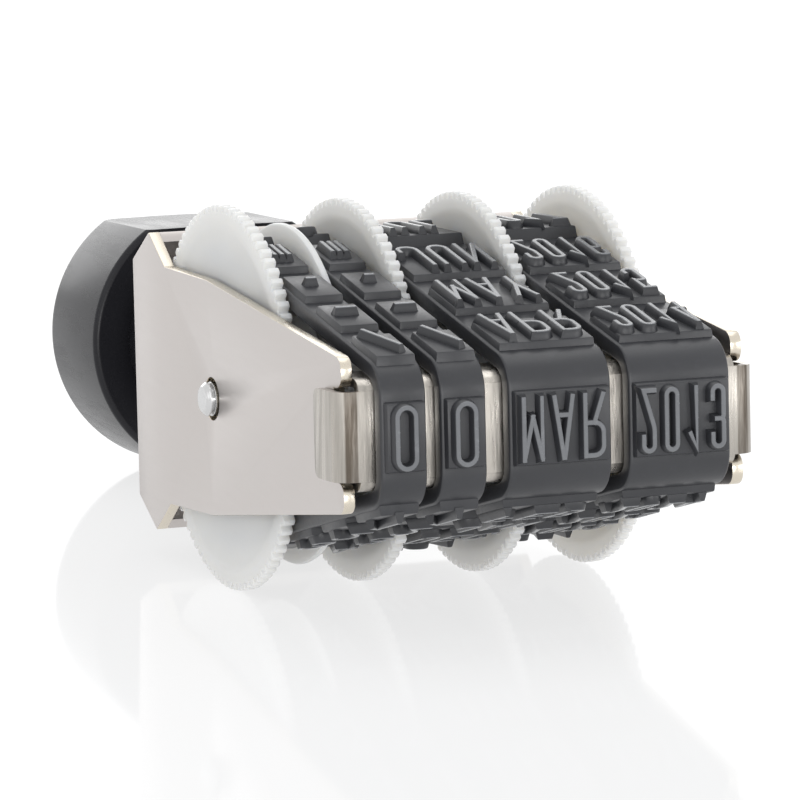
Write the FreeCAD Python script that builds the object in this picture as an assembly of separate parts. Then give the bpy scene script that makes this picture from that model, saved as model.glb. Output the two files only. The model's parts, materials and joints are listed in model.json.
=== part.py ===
import FreeCAD, Part
import math
import os

# Hand date stamp with four rubber bands, lying on its thumb wheels and on the rim of its handle.
# It is drawn in its own frame first: the axle's middle is the origin, X runs along the axle,
# the print face looks along -Y, the handle points along +Y and Z is up. settle() then tilts and
# lifts it so that the wheels and the handle's rim both stand on Z = 0. Sizes are in millimetres.

# Thumb wheels and drums
WHEEL_DIAMETER = 22.5
WHEEL_THICKNESS = 0.7
WHEEL_TEETH = 90
TOOTH_DEPTH = 0.35
TOOTH_TIP_SHARE = 0.5
TOOTH_ROOT_SHARE = 0.72
HUB_RADIUS = 3.2
DRUM_RADIUS = 7.4
DRUM_WALL = 1.0
DRUM_RIBS = 24
DRUM_RIB_WIDTH = 0.5
DRUM_RIB_HEIGHT = 0.1

# Rubber bands: thickness, widths from left to right, and the gaps between them
BAND_THICKNESS = 1.0
DAY_BAND_WIDTH = 2.7
WIDE_BAND_WIDTH = 6.15
DAY_GAP = 0.85
DAY_MONTH_GAP = 1.35
MONTH_YEAR_GAP = 1.1
DAY_PLATES = 14
WIDE_PLATES = 12
DAY_PLATE_LENGTH = 4.1
WIDE_PLATE_LENGTH = 4.4
PLATE_HEIGHT = 0.5
PLATE_MARGIN = 0.12
PLATE_DRAFT = 0.15
PLATE_ROOT = 0.4

# Divider between the two day bands
DIVIDER_DIAMETER = 20.0
DIVIDER_THICKNESS = 0.5
DIVIDER_BOSS_RADIUS = 2.4

# Frame: a U of sheet steel; Y is measured from the axle, height from the axle's level
SHEET = 0.7
BACK_Y = 13.7
BACK_HALF_HEIGHT = 6.95
WING_Y = 10.4
WING_HALF_HEIGHT = 8.95
RELIEF_Y = 7.75
RELIEF_HALF_HEIGHT = 7.1
SHOULDER_Y = 0.4
SHOULDER_HALF_HEIGHT = 6.9
EAR_SETBACK = 0.7
EAR_HALF_HEIGHT = 4.3
EAR_ROUNDING = 0.8
NOTCH_DEPTH = 1.2
FRAME_BEND = 0.45

# Bridge that the bands run over
BRIDGE_SHEET = 0.5
BRIDGE_Y = 21.7
BRIDGE_HALF_HEIGHT = 3.15
BRIDGE_EDGE_BEND = 1.0
BRIDGE_FLANGE = 3.2
TAB_HALF_HEIGHT = 2.5
TAB_LENGTH = 2.5
TAB_BEND = 1.1

# Axle
AXLE_DIAMETER = 3.0
PIN_DIAMETER = 2.0
PIN_STAND_OUT = 0.6
PIN_CHAMFER = 0.25
PIN_GROOVE_DEPTH = 0.18
PIN_GROOVE_WIDTH = 0.2
PIN_GROOVE_INSET = 0.32

# Handle, a turned knob with one flat; Y is measured from the axle
KNOB_DIAMETER = 17.5
KNOB_FRONT_Y = 31.0
KNOB_BACK_Y = 40.5
KNOB_FRONT_ROUNDING = 0.7
KNOB_RIM_ROUNDING = 1.2
KNOB_DOME_RISE = 3.2
KNOB_FLAT_HEIGHT = 7.2
KNOB_DISH = 0.8
NECK_RADIUS = 4.4
NECK_FOOT_RADIUS = 6.2
NECK_FOOT_LENGTH = 3.0

# Handle screw, its washer and the threaded insert
SCREW_DIAMETER = 3.0
SCREW_LENGTH = 10.5
SCREW_HEAD_DIAMETER = 5.0
SCREW_HEAD_HEIGHT = 1.0
SCREW_SLOT_WIDTH = 0.8
SCREW_SLOT_DEPTH = 0.5
WASHER_DIAMETER = 6.4
WASHER_THICKNESS = 0.4
INSERT_DIAMETER = 4.6
INSERT_LENGTH = 9.0
INSERT_INSET = 1.0

# Clearances
SIDE_CLEARANCE = 0.1
RUNNING_CLEARANCE = 0.05
PRESS_CLEARANCE = 0.02
PIN_CLEARANCE = 0.25
SCREW_HOLE_CLEARANCE = 0.2
BAND_DRUM_CLEARANCE = 0.15
BAND_BRIDGE_CLEARANCE = 0.05
TAB_CLEARANCE = 0.05
NOTCH_CLEARANCE = 0.1

Vector = FreeCAD.Vector
ALONG_X = Vector(1, 0, 0)
ALONG_Y = Vector(0, 1, 0)

# The stack across the axle, from the left cheek to the right one
BAND_WIDTHS = (DAY_BAND_WIDTH, DAY_BAND_WIDTH, WIDE_BAND_WIDTH, WIDE_BAND_WIDTH)
BAND_GAPS = (DAY_GAP, DAY_MONTH_GAP, MONTH_YEAR_GAP)
BANDS_WIDTH = sum(BAND_WIDTHS) + sum(BAND_GAPS)
INNER_HALF_WIDTH = BANDS_WIDTH / 2 + WHEEL_THICKNESS + 2 * SIDE_CLEARANCE
OUTER_HALF_WIDTH = INNER_HALF_WIDTH + SHEET
EAR_Y = BRIDGE_Y - EAR_SETBACK


def band_starts():
    """X of each band's left edge."""
    starts = [-BANDS_WIDTH / 2]
    for width, gap in zip(BAND_WIDTHS, BAND_GAPS):
        starts.append(starts[-1] + width + gap)
    return starts


BAND_X = band_starts()
NAMES = ("day_tens", "day_units", "month", "year")

WHEEL_RADIUS = WHEEL_DIAMETER / 2
BAND_INNER_RADIUS = DRUM_RADIUS + DRUM_RIB_HEIGHT + BAND_DRUM_CLEARANCE
CORNER_Y = -(BRIDGE_Y - BRIDGE_EDGE_BEND)
CORNER_Z = BRIDGE_HALF_HEIGHT - BRIDGE_EDGE_BEND
CORNER_INNER_RADIUS = BRIDGE_EDGE_BEND + BAND_BRIDGE_CLEARANCE


def cylinder_x(radius, left, right):
    return Part.makeCylinder(radius, right - left, Vector(left, 0, 0), ALONG_X)


def cylinder_y(radius, front, back):
    return Part.makeCylinder(radius, back - front, Vector(0, front, 0), ALONG_Y)


def box(x0, x1, y0, y1, z0, z1):
    return Part.makeBox(x1 - x0, y1 - y0, z1 - z0, Vector(x0, y0, z0))


def prism_x(points, left, right):
    """Solid with the outline points (y, z), from X left to X right."""
    corners = [Vector(left, y, z) for y, z in points]
    outline = Part.makePolygon(corners + corners[:1])
    return Part.Face(outline).extrude(Vector(right - left, 0, 0))


def turned_y(points):
    """Solid turned about the Y axis from the half outline points (radius, y)."""
    corners = [Vector(radius, y, 0) for radius, y in points]
    outline = Part.makePolygon(corners + corners[:1])
    return Part.Face(outline).revolve(Vector(0, 0, 0), ALONG_Y, 360)


def fillet_edges(shape, radius, keep):
    chosen = [edge for edge in shape.Edges if keep(edge)]
    return shape.makeFillet(radius, chosen)


# Band path: round the drum, along the two runs and over the bridge


def run_angle(drum_radius, corner_radius):
    """Angle from +Z at which the upper run leaves the drum, towards the bridge."""
    reach = math.hypot(CORNER_Y, CORNER_Z)
    return math.asin((drum_radius - corner_radius) / reach) - math.atan2(CORNER_Z, -CORNER_Y)


def on_circle(centre_y, centre_z, radius, angle):
    """Point at an angle from +Z, turning towards the bridge."""
    return Vector(0, centre_y - radius * math.sin(angle), centre_z + radius * math.cos(angle))


def band_outline(offset):
    """Closed wire of the band at this distance outside its inner surface."""
    drum = BAND_INNER_RADIUS + offset
    corner = CORNER_INNER_RADIUS + offset
    lean = run_angle(BAND_INNER_RADIUS, CORNER_INNER_RADIUS)
    half = (lean + math.pi / 2) / 2
    leave = on_circle(0, 0, drum, lean)
    upper_in = on_circle(CORNER_Y, CORNER_Z, corner, lean)
    upper_mid = on_circle(CORNER_Y, CORNER_Z, corner, half)
    upper_out = on_circle(CORNER_Y, CORNER_Z, corner, math.pi / 2)
    back = Vector(0, drum, 0)

    def below(point):
        return Vector(0, point.y, -point.z)

    edges = [
        Part.makeLine(leave, upper_in),
        Part.Arc(upper_in, upper_mid, upper_out).toShape(),
        Part.makeLine(upper_out, below(upper_out)),
        Part.Arc(below(upper_out), below(upper_mid), below(upper_in)).toShape(),
        Part.makeLine(below(upper_in), below(leave)),
        Part.Arc(below(leave), back, leave).toShape(),
    ]
    return Part.Wire(edges)


def band_place(distance):
    """Point and outward angle from +Z, this far up the band's middle line from the front's middle."""
    middle = BAND_THICKNESS / 2
    lean = run_angle(BAND_INNER_RADIUS, CORNER_INNER_RADIUS)
    corner_arc = (CORNER_INNER_RADIUS + middle) * (math.pi / 2 - lean)
    run = math.sqrt(
        CORNER_Y**2 + CORNER_Z**2 - (BAND_INNER_RADIUS - CORNER_INNER_RADIUS) ** 2
    )
    drum_arc = (BAND_INNER_RADIUS + middle) * (math.pi / 2 + lean)
    half_loop = CORNER_Z + corner_arc + run + drum_arc
    if distance > half_loop:
        point, angle = band_place(2 * half_loop - distance)
        return Vector(0, point.y, -point.z), math.pi - angle
    outer_corner = CORNER_INNER_RADIUS + BAND_THICKNESS
    outer_drum = BAND_INNER_RADIUS + BAND_THICKNESS
    if distance <= CORNER_Z:
        return Vector(0, CORNER_Y - outer_corner, distance), math.pi / 2
    distance -= CORNER_Z
    if distance <= corner_arc:
        angle = math.pi / 2 - distance / (CORNER_INNER_RADIUS + middle)
        return on_circle(CORNER_Y, CORNER_Z, outer_corner, angle), angle
    distance -= corner_arc
    if distance <= run:
        start = on_circle(CORNER_Y, CORNER_Z, outer_corner, lean)
        back = Vector(0, math.cos(lean), math.sin(lean))
        return start + back * distance, lean
    distance -= run
    angle = lean - distance / (BAND_INNER_RADIUS + middle)
    return on_circle(0, 0, outer_drum, angle), angle


def loop_length():
    """Length of the band's middle line."""
    middle = BAND_THICKNESS / 2
    lean = run_angle(BAND_INNER_RADIUS, CORNER_INNER_RADIUS)
    corner_arc = (CORNER_INNER_RADIUS + middle) * (math.pi / 2 - lean)
    run = math.sqrt(
        CORNER_Y**2 + CORNER_Z**2 - (BAND_INNER_RADIUS - CORNER_INNER_RADIUS) ** 2
    )
    drum_arc = (BAND_INNER_RADIUS + middle) * (math.pi / 2 + lean)
    return 2 * (CORNER_Z + corner_arc + run + drum_arc)


def type_plate(width, length):
    """Raised plate with drafted sides, its root inside the band; the band's surface is z = 0."""
    def outline(margin, height):
        x = width / 2 - PLATE_MARGIN - margin
        y = length / 2 - margin
        corners = [Vector(-x, -y, height), Vector(x, -y, height)]
        corners += [Vector(x, y, height), Vector(-x, y, height)]
        return Part.makePolygon(corners + corners[:1])

    return Part.makeLoft([outline(0, -PLATE_ROOT), outline(PLATE_DRAFT, PLATE_HEIGHT)], True, True)


def band(start, width, plates, plate_length):
    outer = Part.Face(band_outline(BAND_THICKNESS)).extrude(Vector(width, 0, 0))
    inner = Part.Face(band_outline(0)).extrude(Vector(width, 0, 0))
    loop = outer.cut(inner)
    raised = []
    for index in range(plates):
        point, angle = band_place(loop_length() * index / plates)
        plate = type_plate(width, plate_length)
        plate.rotate(Vector(0, 0, 0), ALONG_X, math.degrees(angle))
        plate.translate(point + Vector(width / 2, 0, 0))
        raised.append(plate)
    loop = loop.fuse(raised).removeSplitter()
    loop.translate(Vector(start, 0, 0))
    return loop


# Wheels, drums and divider


def toothed_disc(left, right):
    pitch = 2 * math.pi / WHEEL_TEETH
    root = WHEEL_RADIUS - TOOTH_DEPTH
    points = []
    for tooth in range(WHEEL_TEETH):
        middle = tooth * pitch
        for share, radius in (
            (-TOOTH_ROOT_SHARE, root),
            (-TOOTH_TIP_SHARE, WHEEL_RADIUS),
            (TOOTH_TIP_SHARE, WHEEL_RADIUS),
            (TOOTH_ROOT_SHARE, root),
        ):
            angle = middle + share * pitch / 2
            points.append((radius * math.sin(angle), -radius * math.cos(angle)))
    return prism_x(points, left, right)


def wheel(disc_left, sleeve_end, boss_end=None):
    """Toothed disc with the sleeve that carries its drum; the sleeve may end in a thinner boss."""
    disc_right = disc_left + WHEEL_THICKNESS
    body = toothed_disc(disc_left, disc_right)
    left = min(disc_left, sleeve_end)
    right = max(disc_right, sleeve_end)
    body = body.fuse(cylinder_x(HUB_RADIUS, left, right))
    if boss_end is not None:
        body = body.fuse(cylinder_x(DIVIDER_BOSS_RADIUS, right, boss_end))
        right = boss_end
    bore = cylinder_x(AXLE_DIAMETER / 2 + RUNNING_CLEARANCE, left - 1, right + 1)
    return body.cut(bore).removeSplitter()


def drum(left, right):
    """Spool that turns the band: hub, web and ribbed rim."""
    rim = cylinder_x(DRUM_RADIUS, left, right).cut(
        cylinder_x(DRUM_RADIUS - DRUM_WALL, left - 1, right + 1)
    )
    hub = cylinder_x(HUB_RADIUS + PRESS_CLEARANCE + DRUM_WALL, left, right)
    middle = (left + right) / 2
    web = cylinder_x(DRUM_RADIUS - DRUM_WALL / 2, middle - DRUM_WALL / 2, middle + DRUM_WALL / 2)
    ribs = []
    for index in range(DRUM_RIBS):
        rib = box(
            left,
            right,
            -DRUM_RIB_WIDTH / 2,
            DRUM_RIB_WIDTH / 2,
            DRUM_RADIUS - DRUM_WALL / 2,
            DRUM_RADIUS + DRUM_RIB_HEIGHT,
        )
        rib.rotate(Vector(0, 0, 0), ALONG_X, 360 * index / DRUM_RIBS)
        ribs.append(rib)
    body = rim.fuse([hub, web] + ribs)
    bore = cylinder_x(HUB_RADIUS + PRESS_CLEARANCE, left - 1, right + 1)
    return body.cut(bore).removeSplitter()


def divider(left):
    right = left + DIVIDER_THICKNESS
    disc = cylinder_x(DIVIDER_DIAMETER / 2, left, right)
    return disc.cut(cylinder_x(DIVIDER_BOSS_RADIUS + PRESS_CLEARANCE, left - 1, right + 1))


# Frame, bridge and axle


def cheek_outline():
    """Side outline, (y, z), above the axle's level from front to back, then below it."""
    notch = TAB_HALF_HEIGHT + NOTCH_CLEARANCE
    upper = [
        (-EAR_Y + NOTCH_DEPTH, notch),
        (-EAR_Y, notch),
        (-EAR_Y, EAR_HALF_HEIGHT),
        (SHOULDER_Y, SHOULDER_HALF_HEIGHT),
        (RELIEF_Y, RELIEF_HALF_HEIGHT),
        (WING_Y, WING_HALF_HEIGHT),
        (BACK_Y, BACK_HALF_HEIGHT),
    ]
    lower = [(y, -z) for y, z in reversed(upper)]
    return upper + lower


def cheek(left):
    sheet = prism_x(cheek_outline(), left, left + SHEET)

    def is_ear_corner(edge):
        middle = edge.BoundBox.Center
        across = edge.BoundBox.XLength > SHEET * 0.9
        return across and middle.y < -EAR_Y + 0.01

    sheet = fillet_edges(sheet, EAR_ROUNDING, is_ear_corner)
    hole = cylinder_x(PIN_DIAMETER / 2 + PIN_CLEARANCE, left - 1, left + SHEET + 1)
    return sheet.cut(hole)


def sloped_flange(side):
    """Upper (side 1) or lower (side -1) flange of the back wall, up to the wing tips."""
    run = math.hypot(BACK_Y - WING_Y, WING_HALF_HEIGHT - BACK_HALF_HEIGHT)
    inward_y = -(WING_HALF_HEIGHT - BACK_HALF_HEIGHT) / run * SHEET
    inward_z = -(BACK_Y - WING_Y) / run * SHEET
    points = [
        (BACK_Y, BACK_HALF_HEIGHT),
        (WING_Y, WING_HALF_HEIGHT),
        (WING_Y + inward_y, WING_HALF_HEIGHT + inward_z),
        (BACK_Y - SHEET, BACK_HALF_HEIGHT + inward_z),
    ]
    points = [(y, side * z) for y, z in points]
    return prism_x(points, -INNER_HALF_WIDTH, INNER_HALF_WIDTH)


def frame():
    back = box(
        -OUTER_HALF_WIDTH,
        OUTER_HALF_WIDTH,
        BACK_Y - SHEET,
        BACK_Y,
        -BACK_HALF_HEIGHT,
        BACK_HALF_HEIGHT,
    )
    body = back.fuse([cheek(-OUTER_HALF_WIDTH), cheek(INNER_HALF_WIDTH)])
    body = body.fuse([sloped_flange(1), sloped_flange(-1)]).removeSplitter()

    def is_back_corner(edge):
        middle = edge.BoundBox.Center
        upright = edge.BoundBox.ZLength > BACK_HALF_HEIGHT
        at_back = abs(middle.y - BACK_Y) < 0.01
        return upright and at_back and abs(abs(middle.x) - OUTER_HALF_WIDTH) < 0.01

    body = fillet_edges(body, FRAME_BEND, is_back_corner)
    hole = cylinder_y(SCREW_DIAMETER / 2 + SCREW_HOLE_CLEARANCE, BACK_Y - SHEET - 1, BACK_Y + 1)
    return body.cut(hole)


def tab_strip():
    """Strip that runs across the front and wraps round both cheeks, seen from above."""
    outer_x = OUTER_HALF_WIDTH + TAB_CLEARANCE + BRIDGE_SHEET
    inner_x = OUTER_HALF_WIDTH + TAB_CLEARANCE
    front = -BRIDGE_Y
    bend_y = front + TAB_BEND
    end_y = bend_y + TAB_LENGTH
    sweep = math.sqrt(0.5)
    inner_bend = TAB_BEND - BRIDGE_SHEET

    def arc_points(side, radius):
        centre_x = side * (outer_x - TAB_BEND)
        return (
            Vector(side * (outer_x - TAB_BEND + radius), bend_y, 0),
            Vector(centre_x + side * radius * sweep, bend_y - radius * sweep, 0),
            Vector(centre_x, bend_y - radius, 0),
        )

    right_out = arc_points(1, TAB_BEND)
    right_in = arc_points(1, inner_bend)
    left_out = arc_points(-1, TAB_BEND)
    left_in = arc_points(-1, inner_bend)
    edges = [
        Part.makeLine(left_out[2], right_out[2]),
        Part.Arc(right_out[2], right_out[1], right_out[0]).toShape(),
        Part.makeLine(right_out[0], Vector(outer_x, end_y, 0)),
        Part.makeLine(Vector(outer_x, end_y, 0), Vector(inner_x, end_y, 0)),
        Part.makeLine(Vector(inner_x, end_y, 0), right_in[0]),
        Part.Arc(right_in[0], right_in[1], right_in[2]).toShape(),
        Part.makeLine(right_in[2], left_in[2]),
        Part.Arc(left_in[2], left_in[1], left_in[0]).toShape(),
        Part.makeLine(left_in[0], Vector(-inner_x, end_y, 0)),
        Part.makeLine(Vector(-inner_x, end_y, 0), Vector(-outer_x, end_y, 0)),
        Part.makeLine(Vector(-outer_x, end_y, 0), left_out[0]),
        Part.Arc(left_out[0], left_out[1], left_out[2]).toShape(),
    ]
    strip = Part.Face(Part.Wire(edges)).extrude(Vector(0, 0, 2 * TAB_HALF_HEIGHT))
    strip.translate(Vector(0, 0, -TAB_HALF_HEIGHT))
    return strip


def channel():
    """Bent sheet behind the front: a web with one flange above and one below."""
    half_width = INNER_HALF_WIDTH - SIDE_CLEARANCE
    sweep = math.sqrt(0.5)
    flange_end = -BRIDGE_Y + BRIDGE_EDGE_BEND + BRIDGE_FLANGE

    def outline(inset):
        radius = BRIDGE_EDGE_BEND - inset
        top = BRIDGE_HALF_HEIGHT - inset
        flange_start = Vector(-half_width, CORNER_Y, top)
        arc_middle = Vector(-half_width, CORNER_Y - radius * sweep, CORNER_Z + radius * sweep)
        arc_end = Vector(-half_width, CORNER_Y - radius, CORNER_Z)
        return Vector(-half_width, flange_end, top), flange_start, arc_middle, arc_end

    def below(point):
        return Vector(point.x, point.y, -point.z)

    outer = outline(0)
    inner = outline(BRIDGE_SHEET)
    edges = [
        Part.makeLine(outer[0], outer[1]),
        Part.Arc(outer[1], outer[2], outer[3]).toShape(),
        Part.makeLine(outer[3], below(outer[3])),
        Part.Arc(below(outer[3]), below(outer[2]), below(outer[1])).toShape(),
        Part.makeLine(below(outer[1]), below(outer[0])),
        Part.makeLine(below(outer[0]), below(inner[0])),
        Part.makeLine(below(inner[0]), below(inner[1])),
        Part.Arc(below(inner[1]), below(inner[2]), below(inner[3])).toShape(),
        Part.makeLine(below(inner[3]), inner[3]),
        Part.Arc(inner[3], inner[2], inner[1]).toShape(),
        Part.makeLine(inner[1], inner[0]),
        Part.makeLine(inner[0], outer[0]),
    ]
    return Part.Face(Part.Wire(edges)).extrude(Vector(2 * half_width, 0, 0))


def bridge():
    return channel().fuse(tab_strip()).removeSplitter()


def axle():
    shoulder = INNER_HALF_WIDTH - SIDE_CLEARANCE
    end = OUTER_HALF_WIDTH + PIN_STAND_OUT
    pin = PIN_DIAMETER / 2
    groove_out = end - PIN_GROOVE_INSET
    groove_in = groove_out - PIN_GROOVE_WIDTH
    half = [
        (shoulder, AXLE_DIAMETER / 2),
        (shoulder, pin),
        (groove_in, pin),
        (groove_in, pin - PIN_GROOVE_DEPTH),
        (groove_out, pin - PIN_GROOVE_DEPTH),
        (groove_out, pin),
        (end - PIN_CHAMFER, pin),
        (end, pin - PIN_CHAMFER),
        (end, 0),
    ]
    points = half + [(-x, radius) for x, radius in reversed(half)]
    corners = [Vector(x, 0, radius) for x, radius in points]
    outline = Part.makePolygon(corners + corners[:1])
    return Part.Face(outline).revolve(Vector(0, 0, 0), ALONG_X, 360)


# Handle and what holds it


def handle_outline():
    """Half outline, (radius, y), from the bore's mouth round the outside to the dome's middle."""
    radius = KNOB_DIAMETER / 2
    front = KNOB_FRONT_Y
    rim = radius - KNOB_RIM_ROUNDING
    points = [
        (NECK_FOOT_RADIUS, BACK_Y),
        (NECK_FOOT_RADIUS, BACK_Y + NECK_FOOT_LENGTH),
    ]
    neck_start = BACK_Y + NECK_FOOT_LENGTH
    neck_steps = 12
    for step in range(1, neck_steps + 1):
        share = step / neck_steps
        y = neck_start + (front + KNOB_DISH - neck_start) * share
        waist = math.cos(2 * math.pi * share)
        edge_radius = NECK_FOOT_RADIUS
        points.append((NECK_RADIUS + (edge_radius - NECK_RADIUS) * (1 + waist) / 2, y))
    points.append((radius - KNOB_FRONT_ROUNDING, front))
    round_steps = 6
    for step in range(1, round_steps + 1):
        angle = math.pi / 2 * step / round_steps
        points.append(
            (
                radius - KNOB_FRONT_ROUNDING * (1 - math.sin(angle)),
                front + KNOB_FRONT_ROUNDING * (1 - math.cos(angle)),
            )
        )
    for step in range(round_steps + 1):
        angle = math.pi / 2 * step / round_steps
        points.append(
            (
                rim + KNOB_RIM_ROUNDING * math.cos(angle),
                KNOB_BACK_Y - KNOB_RIM_ROUNDING + KNOB_RIM_ROUNDING * math.sin(angle),
            )
        )
    dome_steps = 12
    for step in range(1, dome_steps):
        share = step / dome_steps
        points.append((rim * (1 - share), KNOB_BACK_Y + KNOB_DOME_RISE * (1 - (1 - share) ** 2)))
    points.append((0, KNOB_BACK_Y + KNOB_DOME_RISE))
    points.append((0, BACK_Y))
    return points


def handle():
    body = turned_y(handle_outline())
    reach = KNOB_DIAMETER
    above = box(
        -reach,
        reach,
        KNOB_FRONT_Y - KNOB_DISH,
        KNOB_BACK_Y + KNOB_DOME_RISE + 1,
        KNOB_FLAT_HEIGHT,
        reach,
    )
    body = body.cut(above)
    insert_end = BACK_Y + INSERT_INSET + INSERT_LENGTH
    insert_radius = INSERT_DIAMETER / 2 + PRESS_CLEARANCE
    screw_radius = SCREW_DIAMETER / 2 + SCREW_HOLE_CLEARANCE
    body = body.cut(cylinder_y(insert_radius, BACK_Y + INSERT_INSET, insert_end))
    body = body.cut(cylinder_y(screw_radius, BACK_Y - 1, insert_end + 1))
    return body


def handle_insert():
    front = BACK_Y + INSERT_INSET + PRESS_CLEARANCE
    back = BACK_Y + INSERT_INSET + INSERT_LENGTH - PRESS_CLEARANCE
    sleeve = cylinder_y(INSERT_DIAMETER / 2, front, back)
    return sleeve.cut(cylinder_y(SCREW_DIAMETER / 2 + PRESS_CLEARANCE, front - 1, back + 1))


def handle_screw():
    seat = BACK_Y - SHEET - WASHER_THICKNESS - 2 * PRESS_CLEARANCE
    head = cylinder_y(SCREW_HEAD_DIAMETER / 2, seat - SCREW_HEAD_HEIGHT, seat)
    shank = cylinder_y(SCREW_DIAMETER / 2, seat, seat + SCREW_LENGTH)
    slot = box(
        -SCREW_HEAD_DIAMETER,
        SCREW_HEAD_DIAMETER,
        seat - SCREW_HEAD_HEIGHT - 1,
        seat - SCREW_HEAD_HEIGHT + SCREW_SLOT_DEPTH,
        -SCREW_SLOT_WIDTH / 2,
        SCREW_SLOT_WIDTH / 2,
    )
    return head.fuse(shank).cut(slot).removeSplitter()


def handle_washer():
    back = BACK_Y - SHEET - PRESS_CLEARANCE
    front = back - WASHER_THICKNESS
    disc = cylinder_y(WASHER_DIAMETER / 2, front, back)
    return disc.cut(cylinder_y(SCREW_DIAMETER / 2 + SCREW_HOLE_CLEARANCE, front - 1, back + 1))


# Assembly


def tilt_angle():
    """Tilt at which the wheels and the rounded rim of the knob touch one level, in degrees."""
    drop = WHEEL_RADIUS - KNOB_RIM_ROUNDING
    rim_down = KNOB_DIAMETER / 2 - KNOB_RIM_ROUNDING
    rim_back = KNOB_BACK_Y - KNOB_RIM_ROUNDING
    reach = math.hypot(rim_down, rim_back)
    return math.degrees(math.atan2(rim_back, rim_down) - math.acos(drop / reach))


def wheel_places():
    """For each wheel: the disc's left face, and the drum's left and right ends."""
    places = []
    disc = BAND_X[0] - SIDE_CLEARANCE - WHEEL_THICKNESS
    places.append((disc, BAND_X[0] - SIDE_CLEARANCE, BAND_X[0] + BAND_WIDTHS[0]))
    for index in (1, 2):
        left = BAND_X[index]
        gap_left = left + BAND_WIDTHS[index]
        disc = gap_left + (BAND_GAPS[index] - WHEEL_THICKNESS) / 2
        places.append((disc, left, disc))
    left = BAND_X[3]
    disc = left + BAND_WIDTHS[3] + SIDE_CLEARANCE
    places.append((disc, left, disc))
    return places


def build_nodes():
    nodes = {"frame": frame(), "bridge": bridge(), "axle": axle()}
    divider_left = BAND_X[0] + BAND_WIDTHS[0] + (DAY_GAP - DIVIDER_THICKNESS) / 2
    for index, (disc, drum_left, drum_right) in enumerate(wheel_places()):
        name = NAMES[index]
        if index == 0:
            nodes["wheel_" + name] = wheel(disc, drum_right, divider_left + DIVIDER_THICKNESS)
        else:
            nodes["wheel_" + name] = wheel(disc, drum_left)
        drum_left += PRESS_CLEARANCE
        drum_right -= PRESS_CLEARANCE
        nodes["drum_" + name] = drum(drum_left, drum_right)
        day = index < 2
        nodes["band_" + name] = band(
            BAND_X[index],
            BAND_WIDTHS[index],
            DAY_PLATES if day else WIDE_PLATES,
            DAY_PLATE_LENGTH if day else WIDE_PLATE_LENGTH,
        )
    nodes["divider_disc"] = divider(divider_left)
    nodes["handle"] = handle()
    nodes["handle_insert"] = handle_insert()
    nodes["handle_screw"] = handle_screw()
    nodes["handle_washer"] = handle_washer()
    return nodes


def settle(nodes):
    """Tilt the stamp, stand it on Z = 0 and centre it, and print where the axle comes to lie."""
    for shape in nodes.values():
        shape.rotate(Vector(0, 0, 0), ALONG_X, -tilt_angle())
    whole = Part.makeCompound(list(nodes.values())).BoundBox
    lift = Vector(0, -(whole.YMin + whole.YMax) / 2, WHEEL_RADIUS)
    for shape in nodes.values():
        shape.translate(lift)
    print("tilt", round(tilt_angle(), 4), "axle at", [round(v, 4) for v in lift])
    print("box", round(whole.XLength, 2), round(whole.YLength, 2), round(whole.ZLength, 2))
    print("band loop", round(loop_length(), 2))


def main():
    os.makedirs("parts", exist_ok=True)
    nodes = build_nodes()
    settle(nodes)
    for name, shape in nodes.items():
        shape.exportStep("parts/" + name + ".step")
        print(name, len(shape.Solids), shape.isValid(), round(shape.Volume, 2))


main()
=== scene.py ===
import json
import math

import bmesh
import bpy
from bpy.props import FloatProperty, FloatVectorProperty, PointerProperty
from mathutils import Matrix, Vector


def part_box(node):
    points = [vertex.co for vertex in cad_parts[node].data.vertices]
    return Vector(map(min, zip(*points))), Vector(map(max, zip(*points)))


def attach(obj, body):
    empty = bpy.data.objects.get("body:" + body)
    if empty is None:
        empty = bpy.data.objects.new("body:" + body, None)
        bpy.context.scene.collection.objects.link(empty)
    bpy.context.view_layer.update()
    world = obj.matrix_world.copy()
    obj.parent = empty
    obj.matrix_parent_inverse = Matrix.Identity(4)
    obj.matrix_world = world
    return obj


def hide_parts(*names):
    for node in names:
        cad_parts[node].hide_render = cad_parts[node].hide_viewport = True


bl_info = {
    "name": "Hand date stamp",
    "version": (1, 0, 0),
    "blender": (4, 5, 0),
    "location": "View3D > Sidebar > Date stamp",
    "description": "Builds the finished look of a hand date stamp round its solid model",
    "category": "Object",
}

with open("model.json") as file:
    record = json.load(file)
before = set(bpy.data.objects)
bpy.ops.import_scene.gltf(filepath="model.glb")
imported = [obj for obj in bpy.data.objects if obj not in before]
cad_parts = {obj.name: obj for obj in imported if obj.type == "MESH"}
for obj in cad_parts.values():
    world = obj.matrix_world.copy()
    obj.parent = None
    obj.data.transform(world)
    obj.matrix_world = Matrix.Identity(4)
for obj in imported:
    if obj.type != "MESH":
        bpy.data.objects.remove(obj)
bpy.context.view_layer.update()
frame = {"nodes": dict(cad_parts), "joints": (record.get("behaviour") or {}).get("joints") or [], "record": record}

# The stamp is modelled in its own frame, in millimetres: the axle's middle is the origin, X runs
# along the axle, the print face looks along -Y, the handle points along +Y. PLACE puts it down.
FACE_AXIS = Vector(frame["record"]["mounts"][0]["axis"])
TILT = math.atan2(FACE_AXIS.z, -FACE_AXIS.y)
AXLE = Vector(frame["joints"][0]["pos_m"])
PLACE = Matrix.Translation(AXLE) @ Matrix.Rotation(-TILT, 4, "X") @ Matrix.Scale(0.001, 4)
UNPLACE = PLACE.inverted()

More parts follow.
